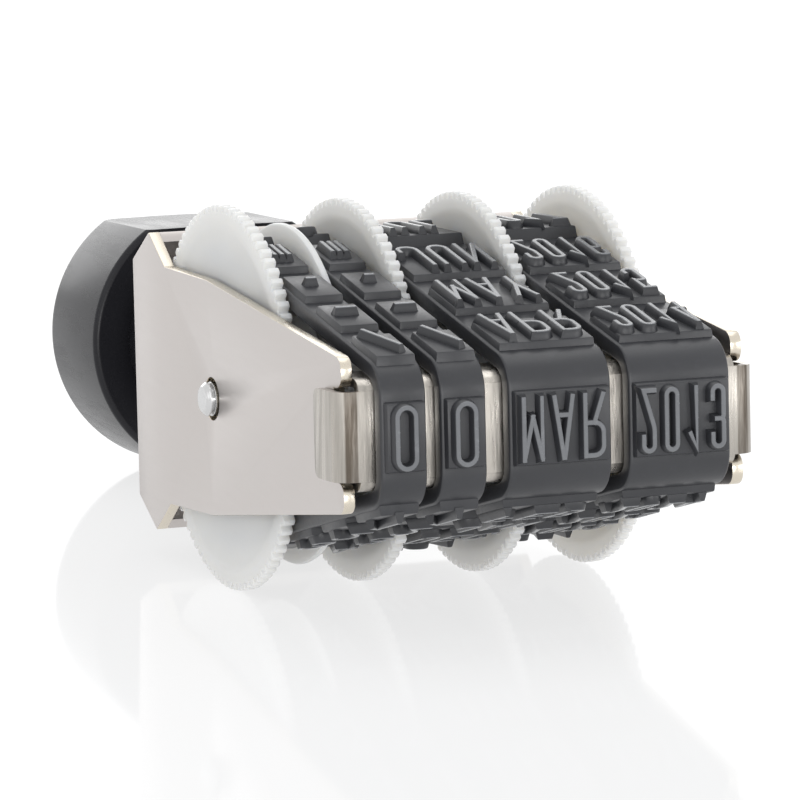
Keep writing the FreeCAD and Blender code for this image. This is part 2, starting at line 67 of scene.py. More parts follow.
# Sizes that the solids share, in millimetres
WHEEL_RADIUS = 11.25
WHEEL_THICKNESS = 0.7
WHEEL_TEETH = 90
TOOTH_DEPTH = 0.35
RIM_WIDTH = 0.85
DISC_DISH = 0.07
HUB_RADIUS = 3.2
BORE_RADIUS = 1.55
DIVIDER_RADIUS = 10.0
BOSS_RADIUS = 2.4
BAND_INNER_RADIUS = 7.65
BAND_THICKNESS = 1.0
CORNER_RADIUS = 1.05
CORNER_Y = -20.7
CORNER_Z = 2.15
BACK_Y = 13.7
SHEET = 0.7
AXLE_RADIUS = 1.5
PIN_RADIUS = 1.0
PIN_PROUD = 0.6
PIN_SHOULDER_GAP = 0.1
TAB_HALF_HEIGHT = 2.5
TAB_END_Y = -18.1
KNOB_RADIUS = 8.75
KNOB_FRONT_Y = 31.0
KNOB_BACK_Y = 40.5
KNOB_DOME_RISE = 3.2
KNOB_FLAT_HEIGHT = 7.2
KNOB_DISH = 0.8
KNOB_FRONT_ROUNDING = 0.4
KNOB_RIM_ROUNDING = 1.2
NECK_RADIUS = 4.4
NECK_FOOT_RADIUS = 6.2
NECK_FOOT_LENGTH = 3.0
SCREW_BORE_RADIUS = 1.7
SCREW_BORE_END = 11.0
INSERT_BORE_RADIUS = 2.32
INSERT_START = 1.0
INSERT_END = 10.0
PLATE_LENGTHS = (4.1, 4.1, 4.4, 4.4)
LETTER_WIDTHS = (1.62, 1.62, 1.62, 1.18)
NAMES = ("day_tens", "day_units", "month", "year")

# What stands on each band, from the front's middle up the band and round to the front again.
# A letter or numeral is a list of strokes; a stroke is a list of corners (x, y, roundness) in a
# box one wide and one high, and a stroke that ends with None runs back to its start.
DAY_TENS = ("0", "/", "-", ".", "|", "", "", "", "", "", "", "3", "2", "1")
DAY_UNITS = ("0", "/", "-", ".", "|", "9", "8", "7", "6", "5", "4", "3", "2", "1")
MONTHS = ("MAR", "APR", "MAY", "JUN", "JUL", "AUG", "SEP", "OCT", "NOV", "DEC", "JAN", "FEB")
YEARS = tuple(str(2013 + step) for step in range(12))
TEXTS = (DAY_TENS, DAY_UNITS, MONTHS, YEARS)
MOST_FACES = 60000
R = 1.0
STROKES = {
    "0": [[(0, 0, R), (1, 0, R), (1, 1, R), (0, 1, R), None]],
    "1": [[(0.05, 0.76, 0), (0.62, 1, 0), (0.62, 0, 0)]],
    "2": [[(0, 0.76, 0), (0, 1, R), (1, 1, R), (1, 0.62, 0.6), (0.04, 0, 0), (1, 0, 0)]],
    "3": [[(0, 0.8, 0), (0, 1, R), (1, 1, R), (1, 0.54, 0.6), (0.35, 0.54, 0)],
          [(0.35, 0.54, 0), (1, 0.54, 0.6), (1, 0, R), (0, 0, R), (0, 0.2, 0)]],
    "4": [[(0.72, 0, 0), (0.72, 1, 0)], [(0.66, 0.97, 0), (0, 0.27, 0), (1, 0.27, 0)]],
    "5": [[(0.95, 1, 0), (0.05, 1, 0), (0.02, 0.56, 0), (0.2, 0.6, 0.4), (1, 0.6, R), (1, 0, R),
           (0, 0, R), (0, 0.2, 0)]],
    "6": [[(1, 0.8, 0), (1, 1, R), (0, 1, R), (0, 0.25, 0)],
          [(0, 0, R), (1, 0, R), (1, 0.58, R), (0, 0.58, R), None]],
    "7": [[(0, 1, 0), (1, 1, 0), (0.32, 0, 0)]],
    "8": [[(0.05, 0.54, R), (0.95, 0.54, R), (0.95, 1, R), (0.05, 1, R), None],
          [(0, 0, R), (1, 0, R), (1, 0.54, R), (0, 0.54, R), None]],
    "9": [[(0, 0.2, 0), (0, 0, R), (1, 0, R), (1, 0.75, 0)],
          [(0, 0.42, R), (1, 0.42, R), (1, 1, R), (0, 1, R), None]],
    "A": [[(0, 0, 0), (0.47, 1, 0)], [(0.53, 1, 0), (1, 0, 0)], [(0.2, 0.3, 0), (0.8, 0.3, 0)]],
    "B": [[(0, 0, 0), (0, 1, 0)], [(0, 1, 0), (0.94, 1, R), (0.94, 0.53, R), (0, 0.53, 0)],
          [(0, 0.53, 0), (1, 0.53, R), (1, 0, R), (0, 0, 0)]],
    "C": [[(1, 0.76, 0), (1, 1, R), (0, 1, R), (0, 0, R), (1, 0, R), (1, 0.24, 0)]],
    "D": [[(0, 0, 0), (0, 1, 0)], [(0, 1, 0), (1, 1, R), (1, 0, R), (0, 0, 0)]],
    "E": [[(1, 1, 0), (0, 1, 0), (0, 0, 0), (1, 0, 0)], [(0, 0.53, 0), (0.85, 0.53, 0)]],
    "F": [[(1, 1, 0), (0, 1, 0), (0, 0, 0)], [(0, 0.53, 0), (0.85, 0.53, 0)]],
    "G": [[(1, 0.76, 0), (1, 1, R), (0, 1, R), (0, 0, R), (1, 0, R), (1, 0.46, 0),
           (0.55, 0.46, 0)]],
    "J": [[(0, 0.24, 0), (0, 0, R), (1, 0, R), (1, 1, 0)]],
    "L": [[(0, 1, 0), (0, 0, 0), (1, 0, 0)]],
    "M": [[(0, 0, 0), (0, 1, 0)], [(0.02, 0.97, 0), (0.5, 0.3, 0)],
          [(0.5, 0.3, 0), (0.98, 0.97, 0)], [(1, 1, 0), (1, 0, 0)]],
    "N": [[(0, 0, 0), (0, 1, 0)], [(0.03, 0.96, 0), (0.97, 0.04, 0)], [(1, 0, 0), (1, 1, 0)]],
    "O": [[(0, 0, R), (1, 0, R), (1, 1, R), (0, 1, R), None]],
    "P": [[(0, 0, 0), (0, 1, 0)], [(0, 1, 0), (1, 1, R), (1, 0.46, R), (0, 0.46, 0)]],
    "R": [[(0, 0, 0), (0, 1, 0)], [(0, 1, 0), (1, 1, R), (1, 0.46, R), (0, 0.46, 0)],
          [(0.5, 0.46, 0), (1, 0, 0)]],
    "S": [[(1, 0.78, 0), (1, 1, R), (0, 1, R), (0, 0.54, R), (1, 0.5, R), (1, 0, R), (0, 0, R),
           (0, 0.22, 0)]],
    "T": [[(0, 1, 0), (1, 1, 0)], [(0.5, 0.95, 0), (0.5, 0, 0)]],
    "U": [[(0, 1, 0), (0, 0, R), (1, 0, R), (1, 1, 0)]],
    "V": [[(0, 1, 0), (0.47, 0, 0)], [(0.53, 0, 0), (1, 1, 0)]],
    "Y": [[(0, 1, 0), (0.48, 0.45, 0)], [(1, 1, 0), (0.52, 0.45, 0)],
          [(0.5, 0.45, 0), (0.5, 0, 0)]],
    "/": [[(0, 0.1, 0), (1, 0.9, 0)]],
    "-": [[(0.05, 0.5, 0), (0.95, 0.5, 0)]],
    ".": [[(0.34, 0.5, 0), (0.66, 0.5, 0)]],
    "|": [[(0.1, 0.25, 0), (0.1, 0.75, 0)], [(0.5, 0.25, 0), (0.5, 0.75, 0)],
          [(0.9, 0.25, 0), (0.9, 0.75, 0)]],
}


# Shader maths: one class for a socket and its sums, one for the nodes of a material


class Wire:
    """A socket of a shader tree; sums on it add Math nodes."""

    def __init__(self, tree, socket):
        self.tree = tree
        self.socket = socket

    def maths(self, operation, first, second=None):
        values = {0: first} if second is None else {0: first, 1: second}
        return self.tree.node("ShaderNodeMath", {"operation": operation}, values)

    def __add__(self, other):
        return self.maths("ADD", self, other)

    __radd__ = __add__

    def __sub__(self, other):
        return self.maths("SUBTRACT", self, other)

    def __rsub__(self, other):
        return self.maths("SUBTRACT", other, self)

    def __mul__(self, other):
        return self.maths("MULTIPLY", self, other)

    __rmul__ = __mul__

    def __truediv__(self, other):
        return self.maths("DIVIDE", self, other)

    def root(self):
        return self.maths("SQRT", self)

    def beside(self, name):
        """Another output of the node that this socket belongs to."""
        return Wire(self.tree, self.socket.node.outputs[name])


class Shading:
    """A node tree whose nodes are added through one method."""

    def __init__(self, tree):
        self.nodes = tree.nodes
        self.links = tree.links
        self.nodes.clear()

    def node(self, kind, settings=None, values=None, output=0):
        made = self.nodes.new(kind)
        for name, value in (settings or {}).items():
            if name == "stops":
                self.set_stops(made, value)
            else:
                setattr(made, name, value)
        for name, value in (values or {}).items():
            socket = made.inputs[name]
            if isinstance(value, Wire):
                self.links.new(value.socket, socket)
            else:
                socket.default_value = value
        if not made.outputs:
            return None
        return Wire(self, made.outputs[output])

    def set_stops(self, ramp, stops):
        elements = ramp.color_ramp.elements
        while len(elements) < len(stops):
            elements.new(0.5)
        for element, (position, level) in zip(elements, stops):
            element.position = position
            element.color = (level, level, level, 1)

    def seen(self):
        """1 for what the camera sees straight, in a reflection or through glass."""
        straight = self.node("ShaderNodeLightPath", output="Is Camera Ray")
        mirrored = straight.maths("MAXIMUM", straight, straight.beside("Is Glossy Ray"))
        return straight.maths("MAXIMUM", mirrored, straight.beside("Is Transmission Ray"))


class Finish(Shading):
    """A material; its patterns read Object coordinates."""

    def __init__(self, name):
        self.material = bpy.data.materials.new(name)
        self.material.use_nodes = True
        super().__init__(self.material.node_tree)
        self.place = self.node("ShaderNodeTexCoord", output="Object")

    def noise(self, scale, detail=3.0, roughness=0.5, stretch=(1, 1, 1)):
        spot = self.node(
            "ShaderNodeVectorMath", {"operation": "MULTIPLY"}, {0: self.place, 1: stretch}
        )
        values = {"Vector": spot, "Scale": scale, "Detail": detail, "Roughness": roughness}
        return self.node("ShaderNodeTexNoise", {}, values)

    def ramp(self, factor, stops):
        return self.node("ShaderNodeValToRGB", {"stops": stops}, {"Fac": factor})

    def blend(self, factor, first, second):
        """Colour between two colours."""
        values = {0: factor, 6: full(first), 7: full(second)}
        return self.node("ShaderNodeMix", {"data_type": "RGBA"}, values, output=2)

    def bump(self, height, distance, strength=1.0, normal=None):
        values = {"Height": height, "Distance": distance, "Strength": strength}
        if normal is not None:
            values["Normal"] = normal
        return self.node("ShaderNodeBump", {}, values)

    def shader(self, values):
        surface = self.node("ShaderNodeBsdfPrincipled", {}, values)
        self.out(surface)
        return self.material

    def metal(self, colour, roughness, normal):
        values = {"Base Color": colour, "Metallic": 1.0, "Roughness": roughness, "Normal": normal}
        return self.shader(values)

    def out(self, surface):
        self.node("ShaderNodeOutputMaterial", {}, {"Surface": surface})


def full(colour):
    if isinstance(colour, Wire):
        return colour
    return (*colour[:3], 1)


def shade(colour, factor):
    return tuple(channel * factor for channel in colour)


def sheet_steel(name, colour, roughness):
    """Satin plated sheet: faint clouds, fine grain along the rolling direction."""
    made = Finish(name)
    cloud = made.noise(160, 3, 0.55)
    grain = made.noise(2600, 3, 0.6, (1.0, 0.14, 1.0))
    speck = made.ramp(made.noise(5200, 2), [(0.60, 0.0), (0.74, 1.0)])
    rough = cloud * 0.10 + grain * 0.10 + (roughness - 0.10)
    shown = made.blend(cloud, shade(colour, 0.965), shade(colour, 1.02))
    shown = made.blend(speck * 0.10, shown, shade(colour, 0.78))
    normal = made.bump(grain, 0.000004, 0.5)
    return made.metal(shown, rough, normal)


# Where the bridge's tabs start along the axle, and the ranges of their pattern and painted shade, in metres
TAB_START = 0.0105
TAB_RANGE = 0.002
TAB_DEPTH = 0.004


def brushed_steel(name, colour, front):
    """Plated strip brushed up and down; its tabs are painted darker as painted shade, with a dark band of painted
    shade at the bend.
    """
    made = Finish(name)
    stripe = made.ramp(made.noise(2400, 4, 0.65, (1.0, 1.0, 0.05)), [(0.32, 0.0), (0.68, 1.0)])
    fine = made.noise(6500, 2, 0.5, (1.0, 1.0, 0.10))
    blot = made.ramp(made.noise(420, 4, 0.6), [(0.40, 0.0), (0.72, 1.0)])
    right = made.node("ShaderNodeSeparateXYZ", {}, {"Vector": made.place}, output="X")
    outwards = (right.maths("ABSOLUTE", right) - TAB_START) / TAB_RANGE
    depth = (right.beside("Y") - front) / TAB_DEPTH
    outside = made.ramp(outwards, [(0.0, 0.0), (0.2, 1.0)])
    bend = made.ramp(outwards, [(0.46, 0.0), (0.5, 1.0), (0.80, 1.0), (0.85, 0.0)])
    bend = bend * made.ramp(depth, [(0.25, 1.0), (0.35, 0.0)])
    grooved = stripe * (outside * 0.7 + 0.3)
    shown = made.blend(grooved, shade(colour, 1.06), shade(colour, 0.62))
    shown = made.blend(blot * 0.12, shown, (0.42, 0.37, 0.31))
    # Painted shade: the tabs, which face sideways, are painted darker than the front strip.
    shown = made.blend(outside * 0.42, shown, shade(colour, 0.60))
    # Painted shade: the tab's bend, near the front, is painted nearly black-brown, striped by the grain, and made
    # a little rougher.
    painted_bend_shade = bend * (stripe * 0.5 + 0.6)
    shown = made.blend(painted_bend_shade, shown, (0.13, 0.11, 0.09))
    rough = stripe * 0.22 + fine * 0.10 + painted_bend_shade * 0.15 + 0.16
    normal = made.bump(stripe, 0.000012, 0.7)
    return made.metal(shown, rough, normal)


def turned_steel(name, colour):
    """Bright bar with the fine rings that turning leaves on its ends."""
    made = Finish(name)
    centred = made.node(
        "ShaderNodeMapping", {"vector_type": "POINT"}, {"Vector": made.place, "Location": -AXLE}
    )
    across = made.node("ShaderNodeSeparateXYZ", {}, {"Vector": centred}, output="Y")
    height = across.beside("Z")
    radius = (across * across + height * height).root()
    ring = radius.maths("SINE", radius * 62000)
    cloud = made.noise(900, 3)
    shown = made.blend(cloud, shade(colour, 0.90), colour)
    normal = made.bump(ring, 0.000003, 0.5)
    rough = cloud * 0.14 + 0.16
    return made.metal(shown, rough, normal)


def moulded_plastic(name, colour):
    """Ivory moulding: faint flow clouds and a soft sheen."""
    made = Finish(name)
    cloud = made.noise(220, 3, 0.55)
    grain = made.noise(3800, 3, 0.6)
    shown = made.blend(cloud, shade(colour, 0.955), shade(colour, 1.01))
    rough = grain * 0.12 + 0.34
    normal = made.bump(grain, 0.000006, 0.4)
    return made.shader(
        {
            "Base Color": shown,
            "Roughness": rough,
            "Normal": normal,
            "Subsurface Weight": 0.6,
            "Subsurface Scale": 0.0035,
            "Subsurface Radius": (1.0, 0.9, 0.75),
        }
    )


def moulded_rubber(name, colour, roughness, dust):
    """Dark rubber with mould grain, faint clouds and pale dust."""
    made = Finish(name)
    cloud = made.noise(330, 4, 0.6)
    grain = made.noise(4200, 4, 0.65)
    fleck = made.ramp(made.noise(1500, 5, 0.7), [(0.56, 0.0), (0.72, 1.0)])
    shown = made.blend(cloud, shade(colour, 0.80), shade(colour, 1.22))
    shown = made.blend(fleck * dust, shown, shade(colour, 2.6))
    rough = grain * 0.16 + cloud * 0.10 + (roughness - 0.13)
    normal = made.bump(grain, 0.000014, 0.55)
    return made.shader({"Base Color": shown, "Roughness": rough, "Normal": normal})


def gloss_plastic(name, colour):
    """Polished dark moulding with a slight orange peel and a few hairlines."""
    made = Finish(name)
    wave = made.noise(240, 2, 0.5)
    scuff = made.noise(900, 4, 0.7, (1.0, 0.2, 1.0))
    shown = made.blend(wave, shade(colour, 0.85), shade(colour, 1.15))
    rough = made.ramp(scuff, [(0.45, 0.0), (0.75, 1.0)]) * 0.08 + 0.25
    normal = made.bump(wave, 0.00003, 0.25)
    return made.shader(
        {
            "Base Color": shown,
            "Roughness": rough,
            "Normal": normal,
            "Specular IOR Level": 0.2,
            "Coat Weight": 0.03,
            "Coat Roughness": 0.05,
        }
    )


def plain_metal(name, colour, roughness):
    """Metal of the hidden fasteners, with drawn grain along them and dull patches."""
    made = Finish(name)
    grain = made.noise(1800, 3, 0.6, (1.0, 0.2, 1.0))
    patch = made.noise(500, 3)
    shown = made.blend(patch, shade(colour, 0.85), shade(colour, 1.05))
    rough = grain * 0.2 + (roughness - 0.1)
    normal = made.bump(grain, 0.000006, 0.5)
    return made.metal(shown, rough, normal)


# Modelling helpers


def chain(bm, points):
    """Wire edges through the points."""
    made = [bm.verts.new(point) for point in points]
    return [bm.edges.new(pair) for pair in zip(made, made[1:])]


def lathe(bm, points, axis, steps):
    """Turn a half outline a full circle about an axis through the origin."""
    edges = chain(bm, points)
    parts = edges + [edges[0].verts[0]] + [edge.verts[1] for edge in edges]
    bmesh.ops.spin(
        bm, geom=parts, cent=(0, 0, 0), axis=axis, angle=2 * math.pi, steps=steps, use_merge=True
    )
    bmesh.ops.remove_doubles(bm, verts=bm.verts, dist=0.0005)


def quarter(centre, radius, start, steps):
    """Points of a half outline along a quarter circle, from the start angle on."""
    angles = [start + math.pi / 2 * step / steps for step in range(steps + 1)]
    x, y = centre
    return [(x + radius * math.cos(angle), y + radius * math.sin(angle)) for angle in angles]


def sharp_edges(bm, degrees, keep=None):
    limit = math.radians(degrees)
    found = []
    for edge in bm.edges:
        if len(edge.link_faces) == 2 and edge.calc_face_angle() > limit:
            if keep is None or keep(edge):
                found.append(edge)
    return found


def soften(bm, edges, width, segments=2):
    bmesh.ops.bevel(
        bm,
        geom=edges,
        offset=width,
        offset_type="OFFSET",
        segments=segments,
        profile=0.5,
        affect="EDGES",
        clamp_overlap=True,
        material=-1,
    )


def as_mesh(bm, name):
    """Store a finished bmesh as a mesh."""
    mesh = bpy.data.meshes.new(name)
    bm.to_mesh(mesh)
    bm.free()
    return mesh


def put_down(bm, name, materials, body, nodes=(), turned_out=True, crease=32):
    """Place the mesh, make it an object that rides on its body, and shade it."""
    bmesh.ops.remove_doubles(bm, verts=bm.verts, dist=0.0002)
    if turned_out:
        bmesh.ops.recalc_face_normals(bm, faces=bm.faces)
    bmesh.ops.transform(bm, matrix=PLACE, verts=bm.verts)
    mesh = as_mesh(bm, name)
    if not mesh.polygons:
        raise RuntimeError(name + " came out empty")
    for polygon in mesh.polygons:
        polygon.use_smooth = True
    mesh.set_sharp_from_angle(angle=math.radians(crease))
    for material in materials:
        mesh.materials.append(material)
    made = bpy.data.objects.new(name, mesh)
    bpy.context.scene.collection.objects.link(made)
    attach(made, body)
    if nodes:
        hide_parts(*nodes)
    return made


def merged_copy(node):
    """Copy of a solid's mesh in the stamp's frame, with its triangles joined into flat faces."""
    bm = bmesh.new()
    bm.from_mesh(frame["nodes"][node].data)
    bmesh.ops.transform(bm, matrix=UNPLACE, verts=bm.verts)
    bmesh.ops.remove_doubles(bm, verts=bm.verts, dist=0.002)
    bmesh.ops.dissolve_limit(
        bm, angle_limit=math.radians(0.6), verts=bm.verts, edges=bm.edges, delimit=set()
    )
    return bm


def renewed(bm):
    """The same mesh in a new bmesh, whose vertices stand in the order in which they were added."""
    mesh = as_mesh(bm, "renewed")
    made = bmesh.new()
    made.from_mesh(mesh)
    bpy.data.meshes.remove(mesh)
    return made


def span(node):
    """Left and right end of a solid along the axle, in millimetres."""
    low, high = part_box(node)
    return low.x * 1000, high.x * 1000


# Frame, bridge and axle


class DATESTAMP_OT_frame(bpy.types.Operator):
    """Sheet steel frame with softened edges"""

    bl_idname = "datestamp.frame"
    bl_label = "Frame"

    def execute(self, context):
        sizes = context.scene.datestamp_sizes
        colours = context.scene.datestamp_colours
        bm = merged_copy("frame")
        soften(bm, sharp_edges(bm, 28), sizes.sheet_edge * 1000, 2)
        inner = span("frame")[1] - SHEET - 0.02
        for face in bm.faces:
            middle = face.calc_center_median()
            cut = abs(face.normal.x) < 0.9 and abs(middle.x) > inner
            face.material_index = 1 if cut and middle.y < BACK_Y - 1.0 else 0
        steel = sheet_steel("frame_steel", colours.frame_steel, 0.34)
        edge = sheet_steel("frame_cut_edge", colours.cut_edge, 0.26)
        put_down(bm, "frame_sheet", [steel, edge], "stamp", ["frame"])
        return {"FINISHED"}


class DATESTAMP_OT_bridge(bpy.types.Operator):
    """Brushed steel bridge whose tabs have rounded corners"""

    bl_idname = "datestamp.bridge"
    bl_label = "Bridge"

    def execute(self, context):
        sizes = context.scene.datestamp_sizes
        colours = context.scene.datestamp_colours
        bm = merged_copy("bridge")

        def is_tab_corner(edge):
            middle = (edge.verts[0].co + edge.verts[1].co) / 2
            across = abs(edge.verts[0].co.x - edge.verts[1].co.x) > 0.3
            at_end = abs(middle.y - TAB_END_Y) < 0.05
            return across and at_end and abs(abs(middle.z) - TAB_HALF_HEIGHT) < 0.05

        soften(bm, sharp_edges(bm, 28, is_tab_corner), sizes.tab_corner * 1000, 5)
        soften(bm, sharp_edges(bm, 28), sizes.sheet_edge * 800, 2)
        steel = brushed_steel("bridge_steel", colours.bridge_steel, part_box("bridge")[0].y)
        put_down(bm, "bridge_strip", [steel], "stamp", ["bridge"])
        return {"FINISHED"}


class DATESTAMP_OT_axle(bpy.types.Operator):
    """Turned axle with grooved, chamfered ends"""

    bl_idname = "datestamp.axle"
    bl_label = "Axle"

    def execute(self, context):
        colours = context.scene.datestamp_colours
        end = span("axle")[1]
        shoulder = end - PIN_PROUD - SHEET - PIN_SHOULDER_GAP
        half = [
            (shoulder - 0.15, AXLE_RADIUS),
            (shoulder, AXLE_RADIUS - 0.15),
            (shoulder, PIN_RADIUS),
            (end - 0.54, PIN_RADIUS),
            (end - 0.52, 0.98),
            (end - 0.51, 0.7),
            (end - 0.33, 0.7),
            (end - 0.32, 0.98),
            (end - 0.3, PIN_RADIUS),
            (end - 0.24, 0.99),
            (end - 0.04, 0.8),
            (end, 0.74),
            (end, 0.0),
        ]
        points = [(-x, 0, radius) for x, radius in reversed(half)]
        points += [(x, 0, radius) for x, radius in half]
        bm = bmesh.new()
        lathe(bm, points, (1, 0, 0), 64)
        steel = turned_steel("axle_steel", colours.axle_steel)
        put_down(bm, "axle_pin", [steel], "stamp", ["axle"])
        return {"FINISHED"}


# Thumb wheels and divider


def tooth_outline():
    """One tooth and half of the gap on each side: (angle, distance under the tip)."""
    half = [(0.0, 0.0), (0.62, 0.0), (0.86, 0.035), (1.02, 0.12), (1.14, 0.24)]
    half += [(1.3, TOOTH_DEPTH - 0.03), (1.55, TOOTH_DEPTH), (2.0, TOOTH_DEPTH)]
    left = [(-angle, under) for angle, under in reversed(half[1:])]
    return [(math.radians(angle), WHEEL_RADIUS - under) for angle, under in left + half]


def tooth(bm, left, right, ring):
    """The wedge of the rim that carries one tooth, from X left to right, out from radius ring."""
    rounding = 0.07
    outline = tooth_outline()

    def row(x, under):
        return [
            (x, math.sin(angle) * (radius - under), math.cos(angle) * (radius - under))
            for angle, radius in outline
        ]

    rows = [row(left, rounding), row(left + rounding, 0.0), row(right - rounding, 0.0)]
    rows.append(row(right, rounding))
    edges = chain(bm, rows[0])
    first = list(edges[0].verts) + [edge.verts[1] for edge in edges[1:]]
    for place in rows[1:]:
        made = bmesh.ops.extrude_edge_only(bm, edges=edges)["geom"]
        last = [part for part in made if isinstance(part, bmesh.types.BMVert)]
        last.sort(key=lambda vert: math.atan2(vert.co.y, vert.co.z))
        for vert, spot in zip(last, place):
            vert.co = spot
        edges = [bm.edges.get(pair) for pair in zip(last, last[1:])]
    step = math.pi / WHEEL_TEETH
    for verts, x in ((first, left), (last, right)):
        inner = [
            bm.verts.new((x, math.sin(angle) * ring, math.cos(angle) * ring))
            for angle in (step, -step)
        ]
        bm.faces.new(list(verts) + inner)


def toothed_wheel(disc_left, sleeve_end, boss_end):
    """Wheel with a rim of teeth, a shallow dish in its disc and the sleeve for its drum."""
    disc_right = disc_left + WHEEL_THICKNESS
    ring = WHEEL_RADIUS - RIM_WIDTH

    def disc_side(x, deep):
        """Half outline of one side of the disc, from its rim to its hub."""
        outline = [(x, ring), (x, ring - 0.5), (deep, ring - 0.62)]
        return outline + [(deep, HUB_RADIUS + 1.0), (x, HUB_RADIUS + 0.85)]

    points = disc_side(disc_left, disc_left + DISC_DISH)
    if sleeve_end > disc_right:
        points += [(disc_left, BORE_RADIUS + 0.1), (disc_left + 0.1, BORE_RADIUS)]
        points += [(boss_end, BORE_RADIUS), (boss_end, BOSS_RADIUS)]
        points += [(sleeve_end, BOSS_RADIUS), (sleeve_end, HUB_RADIUS)]
        points += [(disc_right, HUB_RADIUS)]
    else:
        points += [(disc_left, HUB_RADIUS), (sleeve_end, HUB_RADIUS)]
        points += [(sleeve_end, BORE_RADIUS), (disc_right - 0.1, BORE_RADIUS)]
        points += [(disc_right, BORE_RADIUS + 0.1)]
    points += reversed(disc_side(disc_right, disc_right - DISC_DISH))
    bm = bmesh.new()
    tooth(bm, disc_left, disc_right, ring)
    parts = list(bm.verts) + list(bm.edges) + list(bm.faces)
    bmesh.ops.spin(
        bm,
        geom=parts,
        cent=(0, 0, 0),
        axis=(1, 0, 0),
        angle=2 * math.pi * (WHEEL_TEETH - 1) / WHEEL_TEETH,
        steps=WHEEL_TEETH - 1,
        use_duplicate=True,
    )
    body = bmesh.new()
    start = Matrix.Rotation(math.pi / WHEEL_TEETH, 4, "X")
    points = [start @ Vector((x, 0, radius)) for x, radius in points]
    lathe(body, points, (1, 0, 0), WHEEL_TEETH)
    mesh = as_mesh(body, "wheel_core")
    bm.from_mesh(mesh)
    bpy.data.meshes.remove(mesh)
    bmesh.ops.remove_doubles(bm, verts=bm.verts, dist=0.003)
    return bm


class DATESTAMP_OT_wheels(bpy.types.Operator):
    """The four toothed thumb wheels"""

    bl_idname = "datestamp.wheels"
    bl_label = "Thumb wheels"

    def execute(self, context):
        colours = context.scene.datestamp_colours
        ivory = moulded_plastic("wheel_ivory", colours.wheel_ivory)
        for name in NAMES:
            node = "wheel_" + name
            left, right = span(node)
            if name == "day_tens":
                sleeve_end = span("band_day_tens")[1]
                bm = toothed_wheel(left, sleeve_end, right)
            else:
                bm = toothed_wheel(right - WHEEL_THICKNESS, left, left)
            body = "wheel_" + name + "_body"
            put_down(bm, "thumb_" + node, [ivory], body, [node])
        return {"FINISHED"}


class DATESTAMP_OT_divider(bpy.types.Operator):
    """Smooth disc between the two day bands"""

    bl_idname = "datestamp.divider"
    bl_label = "Divider disc"

    def execute(self, context):
        colours = context.scene.datestamp_colours
        left, right = span("divider_disc")
        bore = BOSS_RADIUS + 0.02
        rim = DIVIDER_RADIUS
        points = [
            (left, bore),
            (left, rim - 0.2),
            (left + 0.06, rim - 0.06),
            (left + 0.2, rim),
            (right - 0.2, rim),
            (right - 0.06, rim - 0.06),
            (right, rim - 0.2),
            (right, bore),
            (left, bore),
        ]
        bm = bmesh.new()
        lathe(bm, [(x, 0, radius) for x, radius in points], (1, 0, 0), 120)
        ivory = moulded_plastic("divider_ivory", colours.wheel_ivory)
        name = "divider_plate"
        body = "wheel_day_tens_body"
        put_down(bm, name, [ivory], body, ["divider_disc"])
        return {"FINISHED"}


# Bands: path, loop, plates and type


def run_lean():
    """Slope of the upper run, from the drum down to the bridge."""
    reach = math.hypot(CORNER_Y, CORNER_Z)
    turned = math.asin((BAND_INNER_RADIUS - CORNER_RADIUS) / reach)
    return turned - math.atan2(CORNER_Z, -CORNER_Y)


def run_length():
    drop = BAND_INNER_RADIUS - CORNER_RADIUS
    return math.sqrt(CORNER_Y**2 + CORNER_Z**2 - drop**2)


def corner_length():
    """Length of the band's middle line round one corner of the bridge."""
    return (CORNER_RADIUS + BAND_THICKNESS / 2) * (math.pi / 2 - run_lean())


def loop_length():
    drum = (BAND_INNER_RADIUS + BAND_THICKNESS / 2) * (math.pi / 2 + run_lean())
    return 2 * (CORNER_Z + corner_length() + run_length() + drum)


def place_on_band(distance):
    """Matrix to the band's outer surface this far up its middle line from the front's middle."""
    middle = BAND_THICKNESS / 2
    lean = run_lean()
    corner = corner_length()
    run = run_length()
    if distance > loop_length() / 2:
        flipped = place_on_band(loop_length() - distance)
        angle = math.pi - flipped.to_euler().x
        spot = flipped.translation
        return Matrix.Translation((0, spot.y, -spot.z)) @ Matrix.Rotation(angle, 4, "X")
    outer_corner = CORNER_RADIUS + BAND_THICKNESS
    outer_drum = BAND_INNER_RADIUS + BAND_THICKNESS

    def on_circle(y, z, radius, angle):
        return Vector((0, y - radius * math.sin(angle), z + radius * math.cos(angle)))

    if distance <= CORNER_Z:
        spot = Vector((0, CORNER_Y - outer_corner, distance))
        return Matrix.Translation(spot) @ Matrix.Rotation(math.pi / 2, 4, "X")
    distance -= CORNER_Z
    if distance <= corner:
        angle = math.pi / 2 - distance / (CORNER_RADIUS + middle)
        spot = on_circle(CORNER_Y, CORNER_Z, outer_corner, angle)
        return Matrix.Translation(spot) @ Matrix.Rotation(angle, 4, "X")
    distance -= corner
    if distance <= run:
        spot = on_circle(CORNER_Y, CORNER_Z, outer_corner, lean)
        spot += Vector((0, math.cos(lean), math.sin(lean))) * distance
        return Matrix.Translation(spot) @ Matrix.Rotation(lean, 4, "X")
    distance -= run
    angle = lean - distance / (BAND_INNER_RADIUS + middle)
    spot = on_circle(0, 0, outer_drum, angle)
    return Matrix.Translation(spot) @ Matrix.Rotation(angle, 4, "X")


